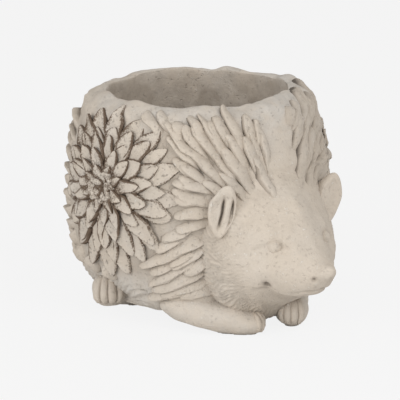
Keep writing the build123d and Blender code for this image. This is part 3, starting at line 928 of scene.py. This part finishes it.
QUILL_GROUPS = {
    "brow_quills": {
        "centre": 0, "arcs": (3, 95), "heights": (78, 128), "pitch": (9.5, 4.5),
        "ground": brow_ground, "flow": face_flow, "size": (29, 7.2, 3.2), "seed": 31,
        "top": {RIGHT: RIM_HEIGHT - 4, LEFT: RIM_HEIGHT - 1.0}, "bottom": 60, "under": over_brow,
    },
    "cheek_quills": {
        "centre": 0, "arcs": (22, 68), "heights": (21, 93), "pitch": (10, 5.0),
        "ground": cheek_ground, "flow": cheek_flow, "size": (25, 7.4, 3.0), "seed": 41,
        "top": {RIGHT: RIM_HEIGHT, LEFT: RIM_HEIGHT}, "bottom": 16, "under": None,
    },
    "rump_quills": {
        "centre": 180, "arcs": (12, 138), "heights": (30, 112), "pitch": (11, 6.0),
        "ground": rump_ground, "flow": rump_flow, "size": (21, 8.0, 3.2), "seed": 51,
        "top": {RIGHT: RIM_HEIGHT - 9, LEFT: RIM_HEIGHT - 9}, "bottom": 31, "under": None,
    },
}
BACK_QUILLS = {
    "centre": 180, "arcs": (-10, 10), "heights": (40, 124), "pitch": (12, 6.4),
    "ground": anywhere, "flow": back_flow, "size": (23, 8.6, 3.4), "seed": 61,
    "top": {LEFT: RIM_HEIGHT - 9}, "bottom": 23, "under": None,
}


def quill_share(kept, group, side):
    """Share of its full length that each quill has room for: under the rim, over the feet and
    short of the flower."""
    length = group["size"][0]
    rise = np.cos(kept[:, 2])
    room = np.where(rise > 0, group["top"][side] - kept[:, 1], kept[:, 1] - group["bottom"])
    share = np.clip(room / np.maximum(np.abs(rise) * length, 1e-6), 0.0, 1.0)
    reach = np.linspace(0, length, 30)
    for index, (arc, height, turn) in enumerate(kept):
        way = [
            from_flower(arc + step * math.sin(turn), height + step * math.cos(turn), group["centre"])
            for step in reach
        ]
        inside = np.array(way) < FLOWER_REACH + FLOWER_GAP
        if inside.any():
            share[index] = min(share[index], reach[inside.argmax()] / length)
    return share


def quills(name, group, side, seed_step):
    """One group of quills, thrown flat and laid on the shell."""
    limits = (group[key] for key in ("arcs", "heights", "pitch", "ground", "flow"))
    kept = throw_darts(group["seed"] + seed_step, side, *limits)
    room = quill_share(kept, group, side)
    kept = kept[room > STUB_SHARE]
    count = len(kept)
    share = np.column_stack([room[room > STUB_SHARE], np.ones((count, 2))])
    spots = np.column_stack([kept[:, :2], np.zeros(count)])
    roll = np.full(count, math.radians(QUILL_ROLL[side]))
    facing = np.column_stack([roll, np.zeros(count), math.pi / 2 - kept[:, 2]])
    mesh = scatter(
        name, quill_strip, quill_cement, spots, facing, group["size"], QUILL_VARY, group["seed"], share
    )
    turned = side if group["centre"] == 0 else -side

    def lay(flat):
        flat = flat + wobble(flat, (0.8, 0.8, 0.40), (13, 13, 6), 71)
        return wrap(flat, group["centre"], turned, group["under"])

    lay_on_shell(mesh, lay, turned)
    place(f"{name}_cast", name, mesh)


for side_name, side in SIDES.items():
    for group_name, group in QUILL_GROUPS.items():
        quills(f"{side_name}_{group_name}", group, side, LEFT_QUILL_STEP if side == LEFT else 0)
quills("back_quills", BACK_QUILLS, LEFT, 0)

STRIP_ROWS = 70
STRIP_ACROSS = 41
# How far the strip runs on under the quills, and how deep it is bedded
STRIP_LAP = 18.0
STRIP_BED = -8.5


def forehead_strip():
    """The smooth parting from the forehead to the rim, bedded in the shell."""
    heights, crown = curve_through(list(zip(FILL_HEIGHTS, STRIP_CROWN)), STRIP_ROWS).T
    shares = np.linspace(-1, 1, STRIP_ACROSS)
    right, left = (parting_edge(heights, side)[:, None] + STRIP_LAP for side in SIDES.values())
    arc = np.where(shares < 0, right, left) * shares
    crown = crown[:, None] - 3.0 * np.abs(shares) ** 3
    height = heights[:, None] * np.ones(STRIP_ACROSS)
    top = np.stack([arc, height, crown], axis=-1)
    bottom = np.stack([arc[:, ::-1], height, np.full_like(arc, STRIP_BED)], axis=-1)
    flat = np.concatenate([top, bottom], axis=1).reshape(-1, 3)
    flat[:, 2] += 0.3 * waves(flat, 14, 75)
    points = wrap(flat, 0, LEFT, over_head)
    faces = tube_faces(STRIP_ROWS, 2 * STRIP_ACROSS, True)
    pale = 0.45 * ease(flat[:, 1], 100, 130)
    cast("forehead_parting", "forehead_strip", points, faces, skin_cement, pale=pale)


forehead_strip()


# Flower


# Node, distance of the roots from the middle, count, size, height of the roots and lift in degrees
PETAL_RINGS = [
    ("outer_petals", {"root": 18.0, "count": 20, "size": (31, 12.6, 2.0), "off": 0.6, "lift": 1}),
    ("middle_petals", {"root": 13.5, "count": 17, "size": (27, 11.6, 1.9), "off": 1.4, "lift": 3}),
    ("middle_petals", {"root": 9.0, "count": 14, "size": (23, 10.4, 1.9), "off": 2.2, "lift": 5}),
    ("inner_petals", {"root": 5.5, "count": 11, "size": (18, 8.4, 1.9), "off": 3.0, "lift": 8}),
    ("inner_petals", {"root": 0.3, "count": 5, "size": (7.0, 6.0, 2.2), "off": 3.6, "lift": 18}),
    ("inner_petals", {"root": 2.5, "count": 8, "size": (12.5, 6.4, 1.9), "off": 3.5, "lift": 13}),
]
HEART_FLORETS = {"root": 1.1, "count": 30, "size": (6.4, 3.4, 1.8), "off": 3.2, "lift": 26}
PETAL_VARY = (0.10, 0.10, 0.2)
PETAL_SEED = 91
HEART_SEED = 131
LEFT_FLOWER_STEP = 7
# How much the flower is drawn out below its middle and drawn in above it
FLOWER_DROOP = 0.09
FLOWER_TRIM = 0.08


def petal_spots(ring, seed, radii):
    """Roots and facings of a ring's petals, a little uneven."""
    draw = np.random.default_rng(seed)
    count = ring["count"]
    turns = 2 * math.pi * (np.arange(count) + draw.uniform(-0.16, 0.16, count) + draw.uniform()) / count
    roots = ring["root"] * radii
    spots = np.column_stack([roots * np.cos(turns), roots * np.sin(turns), np.full(count, ring["off"])])
    lift = np.radians(ring["lift"] + draw.uniform(-2, 2.5, count))
    roll = np.radians(draw.uniform(-8, 8, count))
    return spots, np.column_stack([roll, -lift, turns])


def stain(mesh, side):
    """Brown wash is strongest at the heart and towards the tail; the left flower has less in front."""
    points = points_of(mesh)
    distance = np.hypot(points[:, 0], points[:, 1])
    layer = mesh.attributes.get("wash") or mesh.attributes.new("wash", "FLOAT", "POINT")
    values = np.empty(len(points), np.float32)
    layer.data.foreach_get("value", values)
    near = 1 - ease(distance - 0.35 * points[:, 0], 14, 62)
    heart = 0.50 * (1 - ease(distance, 7, 24))
    tail = 0.25 * ease(points[:, 0], 2, 26) + 0.27 * ease(points[:, 1], 8, 34)
    values = np.clip(values * (0.55 + 0.45 * near) + heart + tail, 0, 1)
    if side == LEFT:
        values *= ease(points[:, 0], -32, -4)
    layer.data.foreach_set("value", values.astype(np.float32))


def flower_part(name, rings, form, side, seed):
    """Rings of petals, or the florets of the heart, laid on the flank."""
    meshes = []
    for number, ring in enumerate(rings):
        draw = np.random.default_rng(seed + number)
        radii = draw.uniform(0.2, 5.0, ring["count"]) if form is quill_strip else 1.0
        spots, facing = petal_spots(ring, seed + 10 * number, radii)
        meshes.append(
            scatter(name, form, washed_cement, spots, facing, ring["size"], PETAL_VARY, seed + number)
        )
    joined = join_meshes(name, meshes)
    stain(joined, side)

    def lay(flat):
        flat = flat + wobble(flat, 0.5, 11, 81)
        flat[:, 2] = np.maximum(flat[:, 2], -2.0)
        flat[:, 1] *= 1 + FLOWER_DROOP * ease(-flat[:, 1], 0, 40) - FLOWER_TRIM * ease(flat[:, 1], 15, 45)
        flat[:, 1] += FLOWER_HEIGHT
        return wrap(flat, FLOWER_ANGLE, side)

    lay_on_shell(joined, lay, side)
    place(f"{name}_cast", name, joined)


for side_name, side in SIDES.items():
    step = LEFT_FLOWER_STEP if side == LEFT else 0
    for node in ("outer_petals", "middle_petals", "inner_petals"):
        rings = [ring for ring_node, ring in PETAL_RINGS if ring_node == node]
        flower_part(f"{side_name}_{node}", rings, flower_petal, side, PETAL_SEED + step + 3 * len(node))
    flower_part(f"{side_name}_flower_heart", [HEART_FLORETS], quill_strip, side, HEART_SEED + step)


# Nose, eyes and ears


# Sideways, reach and height of the nose and of its raised tip
NOSE_SPOT = (0.0, 125.8, 47.4)
NOSE_TIP = (0.0, 131.0, 50.0)
NOSE_SIZE = (5.4, 5.8, 4.8)
EYE_SIZE = (4.7, 4.2, 4.2)
EYE_SET_IN = 2.5
EYE_FACING = (0.72, -0.68, 0.12)
EYE_LEAN = 10.0
# Share of the ear's half width and height, and how far forward, from the back round into the cup
EAR_PROFILE = [
    (0.02, -6.5), (0.45, -6.0), (0.80, -4.2), (0.98, -1.0), (1.03, 1.6), (0.94, 3.0), (0.80, 2.8),
    (0.66, 2.0), (0.50, 1.2), (0.30, 0.8), (0.02, 0.8),
]
EAR_AROUND = 120
EAR_HALF_WIDTH = 9.6
EAR_HALF_HEIGHT = 15.6
EAR_INNER_WIDTH = 6.4
EAR_FOLDS = (-1.2, 4.6)
EAR_FACING = {RIGHT: (-0.58, -0.80, 0.14), LEFT: (0.16, -0.97, 0.14)}
EAR_LEAN = {RIGHT: -12.0, LEFT: -26.0}
EAR_DROP = {RIGHT: 0.0, LEFT: 4.0}
FOLD_DEPTH = {RIGHT: 3.8, LEFT: 0.0}


def ball(rings, around):
    """Points of a unit ball with small open ends for caps, its poles along Z, and its faces."""
    tilts = np.linspace(0.03, math.pi - 0.03, rings)[:, None]
    turns = full_turn(around)
    level = np.cos(tilts) * np.ones(around)
    points = np.stack([np.sin(tilts) * np.cos(turns), np.sin(tilts) * np.sin(turns), level], axis=-1)
    return points.reshape(-1, 3), tube_faces(rings, around, True)


def nose():
    """A ball drawn out forwards and up at its tip."""
    unit, faces = ball(40, 56)
    points = from_head(*NOSE_SPOT) + unit * NOSE_SIZE
    tip = mound(points, from_head(*NOSE_TIP), 4.0)
    points[:, 1] -= 1.4 * tip
    points[:, 2] += 1.0 * tip
    cast("nose_pad", "nose", points, faces, skin_cement)


def upright_basis(facing, lean):
    """Across, up and facing directions of a form that looks along facing and leans sideways."""
    front = np.array(facing, float)
    front /= np.linalg.norm(front)
    across = np.cross((0, 0, 1), front)
    across /= np.linalg.norm(across)
    up = np.cross(front, across)
    swing = math.radians(lean)
    leaned = across * math.cos(swing) + up * math.sin(swing)
    return np.array([leaned, up * math.cos(swing) - across * math.sin(swing), front])


def eye(side_name, side):
    """A ball pinched at its corners, with an upper and a lower lid on it."""
    unit, faces = ball(26, 40)
    up, along, out = unit.T
    pinch = 1 - 0.16 * np.abs(along) ** 1.6
    local = np.column_stack([along, up * pinch, out * pinch]) * EYE_SIZE
    lid = bell(up - 0.76, 0.14) + 0.5 * bell(up + 0.70, 0.14)
    local[:, 2] += 0.22 * lid * (out > -0.2)
    sideways, back, rise = EYE_FACING
    basis = upright_basis((side * sideways, back, rise), side * EYE_LEAN)
    points = cheek_spot(side, EYE_REACH, EYE_HEIGHT) - EYE_SET_IN * basis[2] + local @ basis
    # Painted shade along the upper lid
    hollow = bell(up - 0.62, 0.10) * 0.3 * (out > 0)
    node = f"{side_name}_eye"
    cast(f"{node}_lids", node, points, faces, skin_cement, hollow=hollow)


def ear(side_name, side):
    """A thick leaf-shaped cup, with two folds inside the right ear only; its inner edge runs into the
    forehead.
    """
    rows = curve_through(EAR_PROFILE, 80)
    turns = full_turn(EAR_AROUND)
    low = np.clip(-np.sin(turns), 0, 1)
    high = np.clip(np.sin(turns), 0, 1)
    half = np.where(-side * np.cos(turns) > 0, EAR_INNER_WIDTH, EAR_HALF_WIDTH)
    wide = half * np.cos(turns) * (1 - 0.25 * low**2 - 0.12 * high**2)
    tall = EAR_HALF_HEIGHT * np.sin(turns)
    share, ahead = rows[:, :1], rows[:, 1:]
    local = np.stack([share * wide, share * tall, ahead * np.ones(EAR_AROUND)], axis=-1).reshape(-1, 3)
    inside = np.repeat(ease(np.linspace(0, 1, len(rows)), 0.55, 0.66), EAR_AROUND)
    hollow = np.zeros(len(local))
    inward = -side * local[:, 0]
    for fold in EAR_FOLDS:
        line = inward - fold + 0.010 * (local[:, 1] + 2) ** 2
        groove = bell(line, 0.85) * np.exp(-(((local[:, 1] + 1) / 8.5) ** 4)) * inside
        local[:, 2] -= FOLD_DEPTH[side] * groove
        # Painted shade in the folds
        hollow += 0.35 * FOLD_DEPTH[side] * groove
    local[:, 2] -= 3.2 * ease(inward, 1.0, 6.5)
    basis = upright_basis(EAR_FACING[side], EAR_LEAN[side])
    points = from_head(side * EAR_OUT, EAR_REACH, EAR_HEIGHT - EAR_DROP[side]) + local @ basis
    points += wobble(points, 0.35, 12, 101)
    faces = tube_faces(len(rows), EAR_AROUND, True)
    node = f"{side_name}_ear"
    cast(f"{node}_cup", node, points, faces, skin_cement, hollow=np.clip(hollow, 0, 1))


# Legs and toes


LIMB_RINGS = 90
LIMB_AROUND = 72
LIMB_PALE = 0.35
# Limbs flatten towards the ground below one height and stand flat below the other
SOFT_FOOT = 1.5
FLAT_FOOT = 0.9
# Where the limbs begin and end in plan, on the left side
ELBOW = (49.4, -9.9)
PAW = (13.6, -52.4)
HEEL = (37.0, 40.4)
HIND_PAW = (61.5, 33.5)
# Share of the way from elbow to paw, height of the middle, half width, half height, bow outwards
FOREARM = {
    RIGHT: [
        (-0.06, 16.0, 0.6, 0.6, 0.0), (-0.03, 16.0, 6.0, 5.0, 0.0), (0.08, 15.6, 9.6, 8.0, 0.4),
        (0.25, 14.0, 11.6, 9.4, 1.0), (0.50, 11.4, 12.2, 9.8, 1.4), (0.75, 9.2, 11.6, 9.0, 1.0),
        (0.93, 7.4, 9.8, 7.4, 0.2), (1.03, 6.8, 6.6, 5.6, 0.0), (1.085, 6.6, 2.8, 2.6, 0.0),
        (1.095, 6.6, 0.4, 0.4, 0.0),
    ],
    LEFT: [
        (-0.06, 14.0, 0.6, 0.6, 0.0), (-0.03, 14.0, 5.0, 4.0, 0.0), (0.08, 12.8, 7.4, 6.4, 0.4),
        (0.25, 10.4, 8.4, 7.0, 1.0), (0.50, 8.8, 8.6, 7.2, 1.0), (0.75, 8.6, 9.2, 8.2, 0.6),
        (0.95, 9.6, 10.2, 9.8, 0.2), (1.07, 9.4, 8.2, 8.2, 0.0), (1.14, 9.2, 4.0, 4.2, 0.0),
        (1.155, 9.2, 0.4, 0.4, 0.0),
    ],
}
# Share of the way from heel to hind paw, height of the middle, half width, half height, bow
HIND_FOOT = [
    (-0.23, 9.0, 2.0, 2.0, 0.0), (-0.08, 8.6, 8.0, 8.2, 0.0), (0.20, 9.4, 9.4, 8.8, 0.0),
    (0.60, 13.4, 9.8, 8.8, 0.0), (0.90, 15.6, 10.2, 10.2, 0.0), (1.15, 16.2, 9.4, 10.0, 0.0),
    (1.32, 16.4, 6.2, 6.8, 0.0), (1.40, 16.4, 3.0, 3.4, 0.0), (1.42, 16.4, 0.4, 0.4, 0.0),
]
TOE_COUNT = 4
TOE_RINGS = 9
TOE_VARY = (0.04, 0.08, 0.04)
TOE_SEED = 141
# Radius and height of the middle of each paw, how far past the leg's end it lies, spread between
# toes, and turn of the fan to the front
PAWS = {
    ("right", "front"): (7.8, 7.0, -2.6, 30.0, 0.0),
    ("left", "front"): (10.2, 9.8, 0.0, 27.0, 0.0),
    ("right", "hind"): (11.4, 16.2, 0.6, 29.0, 40.0),
    ("left", "hind"): (11.4, 16.2, 0.6, 29.0, 40.0),
}


def limb(stations, seed):
    """A soft limb through stations of place, half width and half height, flat where it stands."""
    rows = curve_through(stations, LIMB_RINGS)
    spine, wide, tall = rows[:, None, :3], rows[:, None, 3:4], rows[:, None, 4:5]
    along = np.gradient(rows[:, :3], axis=0)
    along /= np.linalg.norm(along, axis=1)[:, None]
    across = np.cross(along, (0, 0, 1))
    across /= np.linalg.norm(across, axis=1)[:, None]
    over = np.cross(across, along)
    turns = full_turn(LIMB_AROUND)[None, :, None]
    points = spine + wide * np.cos(turns) * across[:, None] + tall * np.sin(turns) * over[:, None]
    points = points.reshape(-1, 3)
    points += wobble(points, 0.4, 16, seed)
    height = points[:, 2]
    soft = np.where(height < SOFT_FOOT, SOFT_FOOT * np.exp((height - SOFT_FOOT) / SOFT_FOOT), height)
    points[:, 2] = np.where(soft < FLAT_FOOT, 0.0, soft)
    return points


def leg(node, name, side, start, end, rows, seed):
    """A limb on the ground from one plan point to another, given for the left side."""
    start, end = np.array(start), np.array(end)
    out = np.array([start[1] - end[1], end[0] - start[0]]) / np.linalg.norm(end - start)
    stations = []
    for share, height, wide, tall, bow in rows:
        x, y = start + (end - start) * share + bow * out
        stations.append((side * x, y, height, wide, tall))
    points = limb(stations, seed)
    faces = tube_faces(LIMB_RINGS, LIMB_AROUND, True)
    cast(name, node, points, faces, skin_cement, pale=np.full(len(points), LIMB_PALE))


def toe_form():
    """A rounded ridge down the front of a ball of radius 1, from its top to below its middle."""
    points = []
    hollow = []
    rises = np.radians(np.linspace(72, -50, TOE_RINGS))
    for share, rise in zip(np.linspace(0, 1, TOE_RINGS), rises):
        thick = 0.25 * math.sqrt(max(0.03, 1 - (2 * share - 1) ** 4))
        ahead = np.array([math.cos(rise), 0, math.sin(rise)])
        for turn in full_turn(8):
            points.append(ahead * (0.86 + thick * math.cos(turn)) + (0, thick * math.sin(turn), 0))
            # Painted shade on the ridge's sides and underside, away from its crest
            hollow.append(1 - ease(math.cos(turn), 0.0, 0.8))
    return stock_form("toe", points, TOE_RINGS, hollow=hollow)


toe = toe_form()


def toes(side_name, side, leg_name, start, end):
    """Ridges spread round the end of a paw, no lower than the ground."""
    radius, height, past, spread, swing = PAWS[side_name, leg_name]
    start, end = np.array(start) * (side, 1), np.array(end) * (side, 1)
    way = (end - start) / np.linalg.norm(end - start)
    ahead = math.atan2(way[1], way[0]) - side * math.radians(swing)
    turns = ahead + np.radians(spread) * (np.arange(TOE_COUNT) - (TOE_COUNT - 1) / 2)
    spots = np.tile((*(end + past * way), height), (TOE_COUNT, 1))
    facing = np.column_stack([np.zeros((TOE_COUNT, 2)), turns])
    name = f"{side_name}_{leg_name}_toes"
    mesh = scatter(name, toe, skin_cement, spots, facing, (radius,) * 3, TOE_VARY, TOE_SEED)

    def stand(points):
        points = points + wobble(points, 0.25, 9, 143)
        points[:, 2] = np.maximum(points[:, 2], 0.3)
        return points

    reshape(mesh, stand)
    place(f"{name}_cast", name, mesh)


nose()
for side_name, side in SIDES.items():
    eye(side_name, side)
    ear(side_name, side)
    leg(f"{side_name}_front_leg", f"{side_name}_forearm", side, ELBOW, PAW, FOREARM[side], 111)
    leg(f"{side_name}_hind_foot", f"{side_name}_hind_paw", side, HEEL, HIND_PAW, HIND_FOOT, 121)
    toes(side_name, side, "front", ELBOW, PAW)
    toes(side_name, side, "hind", HEEL, HIND_PAW)

for form in (quill_strip, flower_petal, toe):
    bpy.data.objects.remove(form)

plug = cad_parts["drain_plug"]
plug.data.materials.clear()
plug.data.materials.append(plug_rubber)


# Floor, light and camera


FLOOR_HALF = 4000.0
# Share of the backdrop's own colour in the floor, as the camera sees it
FLOOR_GLOW = 0.93
DAYLIGHT_STRENGTH = 0.56
# Azimuth, elevation, distance, size and power of each soft lamp
LAMPS = {"key": (-4, 36, 1100, 520, 4.1), "fill": (-80, 12, 1300, 900, 8.0)}
# Camera of the photograph: azimuth, elevation and distance from its target
CAMERA_PLACE = (-36.93, 14.9, 1632.0)
CAMERA_TARGET = (0.0, 21.84, 65.22)
CAMERA_LENS = 237.05
SENSOR_WIDTH = 36.0


def floor():
    """A pale floor that keeps the shadow and melts into the background."""
    corners = [(-1, -1, 0), (1, -1, 0), (1, 1, 0), (-1, 1, 0)]
    mesh = bpy.data.meshes.new("floor")
    mesh.from_pydata((np.array(corners) * FLOOR_HALF * MM).tolist(), [], [(0, 1, 2, 3)])
    material, shader, make = new_finish("floor_paper")
    shader.inputs["Base Color"].default_value = FLOOR_PAPER
    shader.inputs["Roughness"].default_value = 1.0
    shader.inputs["Specular IOR Level"].default_value = 0.0
    paper = Value(make.tree, shader.outputs[0])
    glow = make.node("ShaderNodeEmission", None, {"Color": BACKDROP, "Strength": 1.0})
    seen = make.node("ShaderNodeLightPath") * FLOOR_GLOW
    both = make.node("ShaderNodeMixShader", None, {0: seen, 1: paper, 2: glow})
    both.into(make.tree.nodes["Material Output"].inputs[0])
    mesh.materials.append(material)
    into_scene("floor", mesh)


def sky():
    """Soft even light; the camera and glossy surfaces see the pale background."""
    world = bpy.data.worlds.new("studio")
    world.use_nodes = True
    tree = world.node_tree
    tree.nodes.clear()
    make = Value(tree)
    path = make.node("ShaderNodeLightPath")
    seen = path
    for ray in ("Is Glossy Ray", "Is Transmission Ray"):
        seen = make.maths("MAXIMUM", seen, Value(tree, path.socket.node.outputs[ray]))
    daylight = {"Color": DAYLIGHT, "Strength": DAYLIGHT_STRENGTH}
    light = make.node("ShaderNodeBackground", None, daylight)
    shown = make.node("ShaderNodeBackground", None, {"Color": BACKDROP, "Strength": 1.0})
    both = make.node("ShaderNodeMixShader", None, {0: seen, 1: light, 2: shown})
    both.into(tree.nodes.new("ShaderNodeOutputWorld").inputs["Surface"])
    bpy.context.scene.world = world


def aimed(name, data, target, azimuth, elevation, distance):
    """A lamp or camera set at a distance from a target and turned to it."""
    swing, rise = math.radians(azimuth), math.radians(elevation)
    plan = math.cos(rise)
    away = Vector((math.sin(swing) * plan, -math.cos(swing) * plan, math.sin(rise)))
    holder = into_scene(name, data)
    holder.location = (Vector(target) + away * distance) * MM
    holder.rotation_euler = (-away).to_track_quat("-Z", "Y").to_euler()
    return holder


def lamps():
    """Soft square lamps that look at the pot."""
    for name, (azimuth, elevation, distance, size, power) in LAMPS.items():
        lamp = bpy.data.lights.new(name, "AREA")
        lamp.size = size * MM
        lamp.energy = power
        aimed(name, lamp, (0, AXIS_Y, BELLY_HEIGHT), azimuth, elevation, distance)


def camera():
    """The camera that took the photograph, as fitted to it."""
    lens = bpy.data.cameras.new("camera")
    lens.lens = CAMERA_LENS
    lens.sensor_width = SENSOR_WIDTH
    lens.clip_start = 0.05
    lens.clip_end = 50
    bpy.context.scene.camera = aimed("camera", lens, CAMERA_TARGET, *CAMERA_PLACE)


floor()
sky()
lamps()
camera()
bpy.context.scene.view_settings.view_transform = "Standard"
